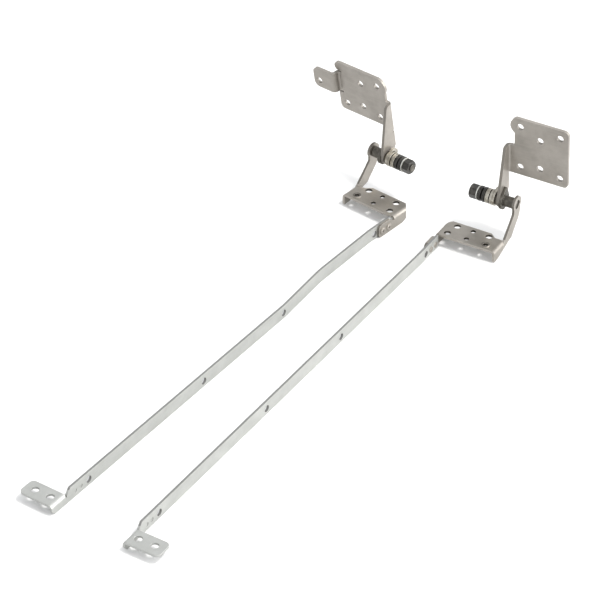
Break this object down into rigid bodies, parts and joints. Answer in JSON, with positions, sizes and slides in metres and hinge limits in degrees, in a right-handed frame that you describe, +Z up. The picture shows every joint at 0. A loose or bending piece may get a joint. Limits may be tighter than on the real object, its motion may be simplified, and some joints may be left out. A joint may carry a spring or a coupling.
{
  "type": "laptop hinge pair",
  "caption": "Left and right laptop hinges: folded steel base and lid brackets on a friction shaft, each lid bracket riveted to a long perforated screen rail.",
  "frame": {"origin": "on the floor under the middle of the pair's bounding box", "axes": "+X along the right hinge's shaft, away from the left hinge; +Y back towards the shafts; +Z up"},
  "size_m": [0.115, 0.2434, 0.0543],
  "materials": {
    "plate_steel": "satin plated",
    "rail_steel": "galvanised, satin",
    "rivet_steel": "satin",
    "shaft_steel": "turned, oiled",
    "dark_steel": "black oxide",
    "washer_steel": "satin"
  },
  "bodies": {
    "lid_side": {"left_disc_spring_1": "dark_steel", "left_disc_spring_2": "dark_steel", "left_disc_spring_3": "dark_steel", "left_disc_spring_4": "dark_steel", "left_inner_thrust_washer": "dark_steel", "left_keyed_washer": "washer_steel", "left_lid_bracket": "plate_steel", "left_lock_nut": "dark_steel", "left_outer_thrust_washer": "dark_steel", "left_pressure_washer": "washer_steel", "left_rail_rivets": "rivet_steel", "left_screen_rail": "rail_steel", "left_shaft": "shaft_steel", "left_spacer_collar": "washer_steel", "right_disc_spring_1": "dark_steel", "right_disc_spring_2": "dark_steel", "right_disc_spring_3": "dark_steel", "right_disc_spring_4": "dark_steel", "right_inner_thrust_washer": "dark_steel", "right_keyed_washer": "washer_steel", "right_lid_bracket": "plate_steel", "right_lock_nut": "dark_steel", "right_outer_thrust_washer": "dark_steel", "right_pressure_washer": "washer_steel", "right_rail_rivets": "rivet_steel", "right_screen_rail": "rail_steel", "right_shaft": "shaft_steel", "right_spacer_collar": "washer_steel"},
    "left_base": {"left_base_bracket": "plate_steel", "left_friction_plate": "shaft_steel"},
    "right_base": {"right_base_bracket": "plate_steel", "right_friction_plate": "shaft_steel"}
  },
  "joints": [
    {"name": "left_hinge", "type": "hinge", "parent": "lid_side", "child": "left_base", "pos_m": [-0.02133, 0.11241, 0.0169], "axis": [0.9851, -0.1719, 0], "range_deg": [-56, 79]},
    {"name": "right_hinge", "type": "hinge", "parent": "lid_side", "child": "right_base", "pos_m": [0.03195, 0.10789, 0.0169], "axis": [1, 0, 0], "range_deg": [-51, 83]}
  ]
}
